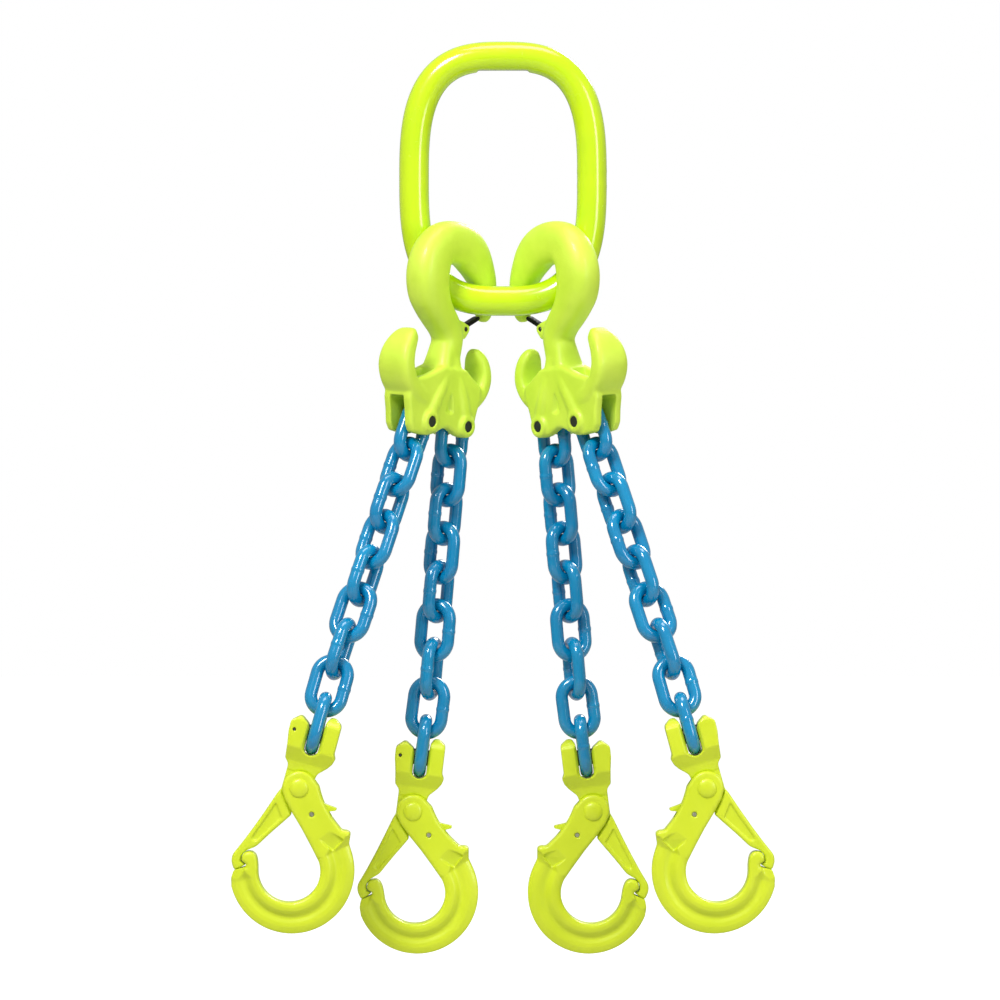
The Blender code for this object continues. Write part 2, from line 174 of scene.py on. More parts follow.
def loft(rings, closed=False):
    """Skin a row of rings that have the same number of points; a closed row makes a hoop."""
    bm = bmesh.new()
    rows = [[bm.verts.new(Vector(point) * MM) for point in ring] for ring in rings]
    count = len(rows[0])
    pairs = list(zip(rows, rows[1:]))
    if closed:
        pairs.append((rows[-1], rows[0]))
    for near, far in pairs:
        for index in range(count):
            following = (index + 1) % count
            bm.faces.new((near[index], near[following], far[following], far[index]))
    if not closed:
        bm.faces.new(rows[0])
        bm.faces.new(rows[-1])
    return finish(bm)


def prism(outline, half_depth, edge=0.0, steps=4, middle_y=0.0):
    """An outline in the x-z plane given depth along y, with its edges rounded by edge."""
    rings = []
    if edge:
        for step in range(steps + 1):
            angle = math.pi / 2 * step / steps
            drawn = inset(outline, edge * (1 - math.sin(angle)))
            depth = half_depth - edge + edge * math.cos(angle)
            rings.append((drawn, depth))
    else:
        rings.append((outline, half_depth))
    layers = [[(x, middle_y - depth, z) for x, z in drawn] for drawn, depth in rings]
    layers += [[(x, middle_y + depth, z) for x, z in drawn] for drawn, depth in reversed(rings)]
    return loft(layers)


def turned(profile, axis, centre=(0.0, 0.0, 0.0), sides=40):
    """A turned piece: (position, radius) pairs along the x or the y axis."""
    rings = []
    for along, radius in profile:
        ring = []
        for side in range(sides):
            angle = 2 * math.pi * side / sides
            across = radius * math.cos(angle)
            up = radius * math.sin(angle)
            offset = (along, across, up) if axis == "x" else (across, along, up)
            ring.append(tuple(c + o for c, o in zip(centre, offset)))
        rings.append(ring)
    return loft(rings)


def rod(radius, start, end, axis, centre=(0.0, 0.0, 0.0), chamfer=0.0, sides=40):
    """A round pin with chamfered ends."""
    profile = [(start, radius - chamfer)]
    if chamfer:
        profile += [(start + chamfer, radius), (end - chamfer, radius)]
    profile.append((end, radius - chamfer))
    return turned(profile, axis, centre, sides)


def tube(points, radius, sides=12, closed=False):
    """A round wire along a path in three dimensions."""
    rings = []
    count = len(points)
    across = None
    for index, here in enumerate(points):
        before = Vector(points[index - 1] if closed or index else points[0])
        after = Vector(points[(index + 1) % count] if closed or index < count - 1 else points[-1])
        along = (after - before).normalized()
        if across is None:
            across = along.orthogonal().normalized()
        across = (across - along * across.dot(along)).normalized()
        up = along.cross(across)
        rings.append([Vector(here) + radius * (across * math.cos(2 * math.pi * side / sides)
                                               + up * math.sin(2 * math.pi * side / sides))
                      for side in range(sides)])
    return loft(rings, closed)


def limb(stations, sides=40, power=2.2, per_span=5):
    """A forged limb: (x, z, half width, half depth) stations joined by smooth curves."""
    smooth = through(stations, per_span)
    points = [Vector((x, 0, z)) for x, z, _, _ in smooth]
    rings = []
    for index, (_, _, half_width, half_depth) in enumerate(smooth):
        along = points[min(index + 1, len(points) - 1)] - points[max(index - 1, 0)]
        across = along.normalized().cross(Vector((0, 1, 0)))
        ring = []
        for side in range(sides):
            turn = 2 * math.pi * side / sides
            c, s = math.cos(turn), math.sin(turn)
            wide = math.copysign(abs(c) ** (2 / power), c) * half_width
            deep = math.copysign(abs(s) ** (2 / power), s) * half_depth
            ring.append(points[index] + across * wide + Vector((0, deep, 0)))
        rings.append(ring)
    return loft(rings)


def evaluated(mesh, setup):
    """A mesh with one modifier applied; setup adds the modifier to the object it is given."""
    item = bpy.data.objects.new("work", mesh)
    bpy.context.scene.collection.objects.link(item)
    setup(item)
    result = bpy.data.meshes.new_from_object(item.evaluated_get(bpy.context.evaluated_depsgraph_get()))
    bpy.data.objects.remove(item)
    return result


def combine(first, second, operation):
    """The EXACT boolean of two meshes."""
    tool = bpy.data.objects.new("tool", second)
    bpy.context.scene.collection.objects.link(tool)

    def setup(item):
        modifier = item.modifiers.new("combine", "BOOLEAN")
        modifier.operation = operation
        modifier.solver = "EXACT"
        modifier.object = tool

    result = evaluated(first, setup)
    bpy.data.objects.remove(tool)
    return result


def cut(base, *tools):
    """A mesh with several others cut from it."""
    for tool in tools:
        base = combine(base, tool, "DIFFERENCE")
    return base


def gathered(*meshes):
    """Several closed shells in one mesh, for the remesh to weld."""
    bm = bmesh.new()
    for mesh in meshes:
        bm.from_mesh(mesh)
    mesh = bpy.data.meshes.new("gathered")
    bm.to_mesh(mesh)
    bm.free()
    return mesh


def remeshed(mesh, voxel):
    """One even skin round everything in the mesh."""
    def setup(item):
        modifier = item.modifiers.new("skin", "REMESH")
        modifier.mode = "VOXEL"
        modifier.voxel_size = voxel * MM
    return evaluated(mesh, setup)


def softened(mesh, rounds, strength=0.5):
    """A mesh with its small bumps and sharp edges eased."""
    def setup(item):
        modifier = item.modifiers.new("soften", "SMOOTH")
        modifier.iterations = rounds
        modifier.factor = strength
    return evaluated(mesh, setup)


def thinned(mesh, share):
    """A mesh with fewer faces where it is nearly flat."""
    def setup(item):
        modifier = item.modifiers.new("thin", "DECIMATE")
        modifier.ratio = share
    return evaluated(mesh, setup)


def forged(shells, cutters, blend_rounds, edge_rounds, voxel=0.8, share=0.3):
    """Weld shells, ease the joins, machine the cutters away and break the edges."""
    skin = remeshed(gathered(*shells), voxel)
    if blend_rounds:
        skin = softened(skin, blend_rounds)
    if cutters:
        skin = remeshed(cut(skin, *cutters), voxel)
    skin = softened(skin, edge_rounds)
    return thinned(skin, share)


# ---------------------------------------------------------------- finishes

class Finish:
    """A Principled material with a small set of noise-driven variations."""

    def __init__(self, name):
        self.material = bpy.data.materials.new(name)
        self.material.use_nodes = True
        self.nodes = self.material.node_tree.nodes
        self.links = self.material.node_tree.links
        self.shader = self.nodes["Principled BSDF"]
        self.place = self.nodes.new("ShaderNodeTexCoord").outputs["Object"]

    def noise(self, scale, detail=3.0, roughness=0.55):
        """Cloudy noise, from 0 to 1."""
        node = self.nodes.new("ShaderNodeTexNoise")
        node.inputs["Scale"].default_value = scale
        node.inputs["Detail"].default_value = detail
        node.inputs["Roughness"].default_value = roughness
        self.links.new(self.place, node.inputs["Vector"])
        return node.outputs["Fac"]

    def spread(self, value, low, high, to_low=0.0, to_high=1.0):
        """Stretch a value from one range to another."""
        node = self.nodes.new("ShaderNodeMapRange")
        for key, number in (("From Min", low), ("From Max", high), ("To Min", to_low), ("To Max", to_high)):
            node.inputs[key].default_value = number
        self.links.new(value, node.inputs["Value"])
        return node.outputs["Result"]

    def mixed(self, factor, first, second):
        """Blend two colours."""
        node = self.nodes.new("ShaderNodeMix")
        node.data_type = "RGBA"
        self.links.new(factor, node.inputs[0])
        for socket, value in ((node.inputs[6], first), (node.inputs[7], second)):
            if isinstance(value, tuple):
                socket.default_value = (*value, 1)
            else:
                self.links.new(value, socket)
        return node.outputs[2]

    def combined(self, operation, first, second):
        """One sum on two values, held between 0 and 1."""
        node = self.nodes.new("ShaderNodeMath")
        node.operation = operation
        node.use_clamp = True
        for socket, value in zip(node.inputs, (first, second)):
            if isinstance(value, (int, float)):
                socket.default_value = value
            else:
                self.links.new(value, socket)
        return node.outputs[0]

    def edges(self, low, high):
        """High on worn convex edges."""
        return self.spread(self.nodes.new("ShaderNodeNewGeometry").outputs["Pointiness"], low, high)

    def bumps(self, *layers):
        """Stack (height, distance, strength) bump layers onto the normal."""
        normal = None
        for height, distance, strength in layers:
            node = self.nodes.new("ShaderNodeBump")
            node.inputs["Distance"].default_value = distance
            node.inputs["Strength"].default_value = strength
            self.links.new(height, node.inputs["Height"])
            if normal is not None:
                self.links.new(normal, node.inputs["Normal"])
            normal = node.outputs["Normal"]
        self.links.new(normal, self.shader.inputs["Normal"])

    def set(self, **values):
        """Set shader inputs, named with underscores for spaces."""
        for key, value in values.items():
            socket = self.shader.inputs[key.replace("_", " ")]
            if isinstance(value, tuple):
                socket.default_value = (*value, 1)
            elif isinstance(value, (int, float)):
                socket.default_value = value
            else:
                self.links.new(value, socket)


def paint(name, colour, shade, worn, rough, coat, grain, grain_depth, wear):
    """A coat of paint over metal: uneven tone, orange peel or cast grain, and edges rubbed thin."""
    made = Finish(name)
    clouds = made.spread(made.noise(28, 4), 0.35, 0.68)
    tone = made.mixed(clouds, colour, shade)
    rubbed = made.combined("MULTIPLY", made.edges(0.53, 0.6), made.spread(made.noise(240, 5, 0.7), 0.5, 0.62))
    specks = made.spread(made.noise(900, 2, 0.5), 0.72, 0.78)
    chips = made.combined("MAXIMUM", rubbed, made.combined("MULTIPLY", specks, 0.35))
    rubbed = made.combined("MULTIPLY", chips, wear)
    made.set(Base_Color=made.mixed(rubbed, tone, worn))
    made.set(Roughness=made.spread(made.noise(120, 4), 0.3, 0.7, rough - 0.05, rough + 0.08))
    made.set(Coat_Weight=coat, Coat_Roughness=0.12, Coat_IOR=1.5)
    made.bumps((made.noise(grain, 4, 0.6), 0.0006, grain_depth),
               (made.noise(70, 2), 0.002, grain_depth * 0.5))
    return made.material


def dark_steel(name, colour, rough):
    """Black-finished steel with turning marks and rubbed edges."""
    made = Finish(name)
    clouds = made.spread(made.noise(300, 4), 0.35, 0.7)
    shine = made.combined("MULTIPLY", made.edges(0.52, 0.6), 0.6)
    lighter = tuple(c * 2 + 0.01 for c in colour)
    made.set(Base_Color=made.mixed(shine, made.mixed(clouds, colour, lighter), (0.22, 0.22, 0.22)))
    made.set(Metallic=0.85)
    made.set(Roughness=made.spread(made.noise(500, 3), 0.3, 0.7, rough - 0.08, rough + 0.12))
    made.bumps((made.noise(1400, 3), 0.0003, 0.25))
    return made.material


MASTER_PAINT = paint("master_paint", (0.66, 0.9, 0.005), (0.6, 0.87, 0.004), (0.5, 0.7, 0.02),
                     rough=0.2, coat=0.7, grain=700, grain_depth=0.05, wear=0.2)
CAST_PAINT = paint("coupler_paint", (0.74, 0.96, 0.08), (0.64, 0.88, 0.055), (0.42, 0.55, 0.05),
                   rough=0.45, coat=0.15, grain=900, grain_depth=0.28, wear=0.4)
HOOK_PAINT = paint("hook_paint", (0.74, 0.86, 0.022), (0.68, 0.81, 0.016), (0.5, 0.56, 0.04),
                   rough=0.36, coat=0.25, grain=1000, grain_depth=0.2, wear=0.4)
CHAIN_PAINT = paint("chain_paint", (0.0, 0.29, 0.56), (0.0, 0.23, 0.48), (0.02, 0.14, 0.24),
                    rough=0.14, coat=1.0, grain=500, grain_depth=0.12, wear=0.5)
BLACK_STEEL = dark_steel("black_steel", (0.012, 0.012, 0.013), 0.38)
SPRING_STEEL = dark_steel("spring_steel", (0.16, 0.16, 0.16), 0.3)
PIN_STEEL = dark_steel("pin_steel", (0.42, 0.44, 0.3), 0.35)


# ---------------------------------------------------------------- placing

def piece(name, mesh, place, body, finish_material, material_slot, *nodes, smooth_angle=40):
    """A named piece in place, riding on its CAD body and standing for the nodes."""
    mesh = mesh.copy()
    mesh.transform(place)
    mesh.materials.append(finish_material)
    mesh.shade_smooth()
    mesh.set_sharp_from_angle(angle=math.radians(smooth_angle))
    item = bpy.data.objects.new(name, mesh)
    bpy.context.scene.collection.objects.link(item)
    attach(item, body)
    if nodes:
        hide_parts(*nodes)
    return item


def hinge(name):
    """Position and axis of a joint."""
    joint = JOINTS[name]
    return Vector(joint["pos_m"]), Vector(joint["axis"]).normalized()


def axes(origin, x, z):
    """A placement from an origin, a rough x direction and an exact z direction."""
    z = z.normalized()
    x = (x - z * x.dot(z)).normalized()
    y = z.cross(x)
    matrix = Matrix((x, y, z)).transposed().to_4x4()
    matrix.translation = origin
    return matrix


def shift(x, y, z):
    """A move, in millimetres."""
    return Matrix.Translation(Vector((x, y, z)) * MM)


def tilt(axis, degrees):
    """A rotation about one axis."""
    return Matrix.Rotation(math.radians(degrees), 4, axis)


# ---------------------------------------------------------------- master link

def master_link():
    """Round bar swept round a superellipse, with the crown's inner side eased flat and a weld ring."""
    middle = MASTER_WIRE - MASTER_HALF_HEIGHT - SEAT_LAND

    def point(angle):
        across = abs(math.cos(angle)) / MASTER_HALF_WIDTH
        up = abs(math.sin(angle)) / MASTER_HALF_HEIGHT
        radius = (across ** MASTER_POWER + up ** MASTER_POWER) ** (-1 / MASTER_POWER)
        return Vector((radius * math.cos(angle), 0, middle + radius * math.sin(angle)))

    rings = []
    steps = 240
    for step in range(steps):
        angle = 2 * math.pi * step / steps
        centre = point(angle)
        along = (point(angle + 0.004) - point(angle - 0.004)).normalized()
        outward = along.cross(Vector((0, 1, 0)))
        height = centre.z - middle
        bead = 0.0
        if centre.x > 0:
            bead = sum(math.exp(-((height - place) / 1.6) ** 2) for place in (6.0, -6.0))
        radius = MASTER_WIRE * (1 - BAR_EASE) + 0.18 * bead
        ring = [centre + radius * (outward * math.cos(t) + Vector((0, 1, 0)) * math.sin(t))
                for t in (2 * math.pi * side / 48 for side in range(48))]
        if height > 0 and abs(centre.x) < SEAT_HALF_WIDTH:
            for spot in ring:
                spot.z = max(spot.z, 0)
        rings.append(ring)
    return loft(rings, closed=True)


# ---------------------------------------------------------------- chain

def link_mesh(hinge_to_middle):
    """A welded link: round wire, with the upset of the butt weld on one leg."""
    path = [(x, z, "top") for x, z in arc((0, CHAIN_STRAIGHT), CHAIN_BEND, 0, 180, 22)]
    path += [(-CHAIN_BEND, CHAIN_STRAIGHT * share, "leg") for share in (0.7, 0.4, 0.1, -0.1, -0.4, -0.7)]
    path += [(x, z, "bottom") for x, z in arc((0, -CHAIN_STRAIGHT), CHAIN_BEND, 180, 360, 22)]
    weld_heights = [-5.6, -3.0, -2.2, -1.6, -1.0, -0.3, 0.3, 1.0, 1.6, 2.2, 3.0, 5.6]
    path += [(CHAIN_BEND, z, "weld") for z in weld_heights]
    rings = []
    for x, z, part in path:
        centre_z = CHAIN_STRAIGHT if part == "top" else -CHAIN_STRAIGHT if part == "bottom" else z
        outward = Vector((x, 0, z - centre_z)).normalized()
        radius = CHAIN_WIRE
        if part == "weld":
            radius += 0.32 * math.exp(-(z / 1.5) ** 4)
        centre = Vector((x, 0, z - hinge_to_middle))
        rings.append([centre + radius * (outward * math.cos(t) + Vector((0, math.sin(t), 0)))
                      for t in (2 * math.pi * side / 24 for side in range(24))])
    return loft(rings, closed=True)


# ---------------------------------------------------------------- coupler

def coupler_mesh():
    """The coupler forging, in the plane of its outlines."""
    hook = limb([
        (40.5, -19, 2.5, 3), (40.5, -15, 5.2, 6), (40.5, -7, 6.4, 7.5), (39.6, 1, 7.8, 8.5),
        (36.4, 9.5, 10.6, 9.5), (29.6, 19.3, 13, 10.5), (20, 29, 15.6, 11.5), (8.5, 35.8, 16.2, 12),
        (-6, 37.6, 16.6, 12.5), (-19, 34.4, 16.4, 12.8), (-27.5, 24.6, 17, 13.6), (-29.8, 11.5, 17.4, 14.2),
        (-27, -1.5, 16.4, 14), (-20.5, -11.5, 14, 13.6), (-13.2, -19, 12.6, 13), (-5.2, -26, 12, 12.2),
        (0.5, -34, 11.6, 11.6), (0.8, -42, 11.4, 11.4), (0, -52, 11.6, 11.4), (0, -64, 14, 12),
        (0, -78, 18, 12)], power=2.5)
    cheeks = [(-13, -58), (13, -58), (24, -65), (33, -70), (34, -80)]
    cheeks += through([(34, -80), (31, -90), (29, -101), (25.5, -107.6), (19, -110.6), (10, -109.6),
                       (3, -106.6), (-3, -105), (-9, -106.6), (-15, -109.8), (-24, -112.4),
                       (-34, -112.4)], 4)[1:]
    cheeks += [(-42, -111.5), (-46, -106), (-48, -96), (-51, -86), (-50, -72), (-30, -66)]
    shells = [hook, prism(cheeks, CHEEK_HALF_DEPTH, 2.2, 4)]
    for middle_x in CLEVIS_X.values():
        lean = 0.1 * (middle_x - 4)
        shells.append(limb([
            (lean, -42, 8, 10.4), (lean * 2, -54, 7.6, 12), (middle_x * 0.4, -68, 7.4, 14.2),
            (middle_x * 0.7, -82, 7.6, 15.6), (middle_x * 0.92, -93, 8.4, 15.8),
            (middle_x, CLEVIS_Z, 8.6, 15.2)], power=2.6))
        shells.append(turned([(-16.4, 6.4), (-16, 8), (-14.8, 8.9), (14.8, 8.9), (16, 8), (16.4, 6.4)], "y",
                             (middle_x, 0, CLEVIS_Z)))
    shells.append(limb([
        (-18, -85, 8.2, 13), (-29, -84, 8.2, 14), (-38, -81.5, 8, 14.8), (-49, -73, 7.4, 15.2),
        (-54.5, -62, 7.2, 15.2), (-54, -51.5, 6.8, 14.2), (-49.6, -42.6, 6.4, 11.8), (-44.6, -36.8, 5.2, 8.8),
        (-41.2, -34.4, 2.4, 4.5)], power=4))
    shells.append(limb([
        (16, -84, 8, 12), (25, -83, 7.4, 12.2), (31.5, -80.5, 6.9, 12.6), (38.8, -73, 6.2, 12.2),
        (41.6, -64, 5.8, 12), (40.6, -55, 5.4, 11), (37.2, -47.5, 4.8, 9), (34.2, -42.8, 3.4, 5.6),
        (33, -41, 1.6, 2.8)], power=4))
    shells.append(prism([(4, -20), (12, -21.5), (19, -24), (19.5, -28), (15, -35), (4, -36)], 7, 1.5))
    roof_slot = prism([(-60, SLOT_ROOF), (52, SLOT_ROOF), (52, -130), (-60, -130)], COUPLER_SLOT)
    outer_groove = [(-46, -50), (-15, -50)] + arc((-30, -66), 11.5, 0, -180, 12) + [(-46, -62)]
    inner_groove = [(15, -52), (34.5, -52), (34.5, -66)] + arc((26.5, -68), 8, 0, -180, 12)
    keeper_slot = prism([(10.5, -15), (25, -15), (25, -30.6), (10.5, -30.6)], KEEPER_HALF_WIDTH + 0.3)
    x, z = KEEPER_PIVOT
    cutters = [roof_slot, prism(outer_groove, CLAW_GROOVE), prism(inner_groove, CLAW_GROOVE), keeper_slot,
               rod(1.9, -20, 20, "y", (x, 0, z))]
    hollow = [(-2, -64), (4, -80), (9, -97), (-2, -101), (-13, -98), (-8, -80)]
    for side in (-1, 1):
        cutters.append(loft([[(hx, side * 18, hz) for hx, hz in hollow],
                             [(hx * 0.1 - 2, side * 10.6, -88 + (hz + 88) * 0.2) for hx, hz in hollow]]))
    for middle_x in CLEVIS_X.values():
        place = (middle_x, 0, CLEVIS_Z)
        cutters += [rod(PIN_RADIUS + FIT, -13.2, 13.2, "y", place), rod(PIN_END + FIT, -20, 20, "y", place)]
    return forged(shells, cutters, 10, 2, voxel=0.8)


def keeper_mesh():
    """The keeper lever with its eye, in its own frame on its pin."""
    lever = arc((0, 0), 3.2, 90, 270, 16)
    lever += through([(3, -2), (10, -1.7), (KEEPER_LENGTH - 1.6, -1.5), (KEEPER_LENGTH, 0),
                      (KEEPER_LENGTH - 1.6, 1.5), (10, 1.7), (3, 2)], 4)
    return cut(prism(lever, KEEPER_HALF_WIDTH, 0.5), rod(1.75, -5, 5, "y"))


def coil(radius, wire, start, end, turns):
    """A small wound spring along y."""
    count = int(turns * 20)
    points = []
    for step in range(count + 1):
        share = step / count
        angle = 2 * math.pi * turns * share
        points.append((radius * math.cos(angle), start + (end - start) * share, radius * math.sin(angle)))
    return tube(points, wire, 8)


# ---------------------------------------------------------------- hook

def head_mesh():
    """Clevis, eye and latch arm in one forging."""
    clevis = [(-12.6, 12), (-13.4, 16), (-16.5, 19.6), (-17.6, 30), (-19.3, 40), (-19.5, 46.5)]
    clevis += [(-19.2, 48.2), (-14, 52.8), (-11.8, 53), (-6.2, 48.8), (-4.6, 45.6)]
    clevis += arc((PIN_X, 31.1), CLEVIS_SLOT, 180, 360, 24)
    clevis += [(6.2, 46), (6.8, 53), (8.8, 56.6), (10.4, 57.6), (13, 57.6), (17.8, 53.6), (18.4, 51)]
    clevis += [(18.6, 31), (20.4, 27.4), (19.2, 23.4), (16.6, 19.6), (11, 14), (9.5, 11)]
    side_view = arc((0, PIN_Z), 15.5, 33, 147, 20) + [(-13.2, 29.5), (-7.4, 19), (-6.2, 12.5), (-6.2, 8)]
    side_view += [(6.2, 8), (6.2, 12.5), (7.4, 19), (13.2, 29.5)]
    ear_shape = loft([[(x, y, z) for y, z in side_view] for x in (-30, 30)])
    clevis_part = combine(prism(clevis, CLEVIS_HALF_DEPTH), ear_shape, "INTERSECT")
    eye = arc((0, 0), 12, 40, -35, 12) + [(0, -18), (-6, -28), (-16, -24), (-13, -6), (-13, 18), (11, 16)]
    arm = [(-13.2, -4), (-15, -8), (-20, -23), (-25, -37), (-30, -50)]
    arm += through([(-30, -50), (-33.2, -57.5), (-34.9, -62), (-34.3, -67), (-31.6, -71.6)], 4)[1:]
    arm += [(-30.3, -72.2), (-27, -69.9)]
    arm += arc((0, 0), LATCH_HEEL_RADIUS, -109.5, -113, 4)
    arm += through([(-28.2, -61.5), (-27.2, -58.6), (-25.3, -55.8), (-22, -53.2), (-19, -50.5),
                    (-15, -44)], 4)
    arm += [(-10, -36), (-5, -28.5), (-0.4, -21.3)]
    arm_part = prism(arm, ARM_HALF_DEPTH, 1.8)
    panel = through([(-14, -15), (-17.6, -26), (-22.4, -39), (-24.6, -45.5)], 3)
    panel += through([(-24.6, -45.5), (-23, -47.8), (-20.2, -46.6), (-17, -42), (-11, -32.6),
                      (-6.2, -25)], 3)[1:]
    cutters = [prism(panel, 2.0, 0.8, 3, middle_y=side * 8.6) for side in (-1, 1)]
    cutters += [rod(13.5, start, end, "y", sides=72) for start, end in ((-20, -5.6), (5.6, 20))]
    cutters.append(rod(PIN_RADIUS + FIT, -30, 30, "x", (0, 0, PIN_Z)))
    cutters.append(rod(LINK_SWEEP, PIN_X - 5.3, PIN_X + 5.3, "x", (0, 0, PIN_Z), sides=72))
    cutters.append(rod(5.75, -10, 10, "y"))
    cutters.append(rod(1.3, -20, -4, "y", (LOCK_PIN_X, 0, PIN_Z)))
    for side in (-1, 1):
        band = [[(x, side * depth, z) for x, z in arc((PIN_X, 31.2), reach, 180, 360, 24)
                 + [(PIN_X + reach, 70), (PIN_X - reach, 70)]] for depth, reach in ((15.2, 9.4), (10.2, 5.2))]
        cutters.append(loft(band))
    return forged([clevis_part, prism(eye, EYE_HALF_DEPTH), arm_part], cutters, 1, 2, voxel=0.6, share=0.35)


def rim_groove(side):
    """The cutter that leaves a round bead inside the bowl and a lower, outward-sloping rim outside.

    The profile is (radius, y); its ends lift out of the face over a short ramp.
    """
    profile = [(20, 12.6), (20, 8.4), (22.6, 9.2), (24.8, 10.5), (27.4, 11), (30, 10.5), (32.2, 9), (34, 7.2),
               (36, 6.9), (39, 8), (42, 8.2), (45, 7.4), (48.5, 5.8), (52, 5), (52, 12.6)]
    x, z = GROOVE_CENTRE
    rings = []
    steps = 60
    for step in range(steps + 1):
        share = step / steps
        angle = math.radians(GROOVE_START + GROOVE_SWEEP * share)
        lift = 4.5 * max(0, 1 - share / 0.06, 1 - (1 - share) / 0.03)
        rings.append([(x + r * math.cos(angle), side * (y + lift), z + r * math.sin(angle))
                      for r, y in profile])
    return loft(rings)


def body_mesh():
    """Forked shank, bowl and tip."""
    outline = arc((0, 0), 13, 200, 45, 30)
    outline += through([(14, 5.2), (20, -4.5), (29, -14), (37, -20.2)], 3)
    outline += through([(37, -20.2), (39.5, -21.8), (43.2, -21.4), (46, -22.4), (46.8, -26),
                        (47.4, -31)], 4)[1:]
    outline += arc(RIM_CENTRE, RIM_RADIUS, 34, -152, 70)
    outline += through([(-29.2, -85), (-31, -80), (-31.2, -76.5), (-30.9, -73)], 3)
    outline += [(-30.2, -72.3), (-26.8, -70.2), (-22.9, -67.9)]
    outline += arc((0, 0), BOWL_TOE_RADIUS, -109.2, -112.8, 3)
    outline += through([(-27.9, -61.6), (-27.2, -58.9), (-25.3, -56.8), (-21.5, -55.8), (-18.4, -57),
                        (-16.2, -60), (-14.3, -64.6)], 4)
    outline += arc(BOWL_CENTRE, BOWL_RADIUS, 195, 395, 60)
    outline += [(27, -47.2), (20, -39.5), (10, -29), (0, -19.5), (-8.6, -10.6)]
    block = prism(outline, BODY_HALF_DEPTH, 2.6, 5)
    fork = prism([(-30, 5), (5, 30), (40, -5), (21, -23), (12, -31), (-14, -20)], FORK_HALF_GAP)
    x, z = TRIGGER_PIVOT
    cutters = [fork, rod(1.95, -20, 20, "y", (x, 0, z)), rod(5.6, -20, 20, "y")]
    shoulder_facet = [(24.5, -33, 10.9), (31, -25, 11), (43, -28.5, 8.4), (37, -39, 6.2)]
    heel_seat = [(-34, -70), (-23, -67), (-23.6, -72.6), (-27.4, -81), (-34, -84)]
    for side in (-1, 1):
        cutters.append(rim_groove(side))
        cutters.append(loft([[(fx, side * 13, fz) for fx, fz, _ in shoulder_facet],
                             [(fx, side * fy, fz) for fx, fz, fy in shoulder_facet]]))
        cutters.append(prism(heel_seat, 3.0, middle_y=side * 11.6))
    return forged([block], cutters, 2, 2, voxel=0.65, share=0.3)


def rivet_mesh():
    """The hinge rivet with its domed heads."""
    profile = []
    steps = 8
    for step in range(steps + 1):
        angle = math.pi / 2 * step / steps
        profile.append((-11.1 - 2.3 * math.cos(angle), max(0.2, 7.2 * math.sin(angle))))
    profile += [(-10.8, 7.2), (-10.8, 5.45)]
    return turned(profile + [(-y, r) for y, r in reversed(profile)], "y", sides=56)


def trigger_mesh():
    """The trigger lever with its spur, on its pin."""
    x, z = TRIGGER_PIVOT
    outline = through([(13.2, 1.5), (14.6, 2.6), (15.9, 1.6), (17.5, -3.5), (21.6, -6.2), (27, -6.9),
                       (31, -7.2)], 3)
    outline += through([(31.6, -8.2), (30.6, -9.6), (27, -11), (22.6, -14.6), (20, -19.5), (15.5, -21.8),
                        (10.5, -20), (8.8, -16), (11.2, -8)], 3)
    outline = [(px - x, pz - z) for px, pz in outline]
    return softened(remeshed(prism(outline, 5.0), 0.45), 3)


# ---------------------------------------------------------------- the sling

def build_coupler(side, meshes):
    """One coupler with its pins and keeper."""
    outer, across = hinge(f"{side}_outer_link_1_bend")
    inner, _ = hinge(f"{side}_inner_link_1_bend")
    x = (inner - outer).normalized()
    z = x.cross(across)
    if z.z < 0:
        z = -z
    plane = axes(outer - x * CLEVIS_X["outer"] * MM - z * CLEVIS_Z * MM, x, z)
    body = f"{side}_coupler"
    piece(f"{side}_coupler_forging", meshes["coupler"], plane, body, CAST_PAINT, "coupler_paint", body)
    for name, middle_x in CLEVIS_X.items():
        spot = plane @ shift(middle_x, 0, CLEVIS_Z)
        piece(f"{side}_{name}_coupler_pin", meshes["coupler_pin"], spot, body, BLACK_STEEL, "black_steel")
    pivot = plane @ shift(KEEPER_PIVOT[0], 0, KEEPER_PIVOT[1])
    piece(f"{side}_keeper_rivet", meshes["keeper_pin"], pivot, body, BLACK_STEEL, "black_steel",
          f"{side}_keeper_pin")
    keeper = f"{side}_keeper"
    piece(f"{side}_keeper_lever", meshes["keeper"], pivot @ tilt("Y", -KEEPER_ANGLE), keeper, BLACK_STEEL,
          "black_steel", keeper)
    piece(f"{side}_keeper_spring", meshes["keeper_spring"], pivot, body, SPRING_STEEL, "black_steel")


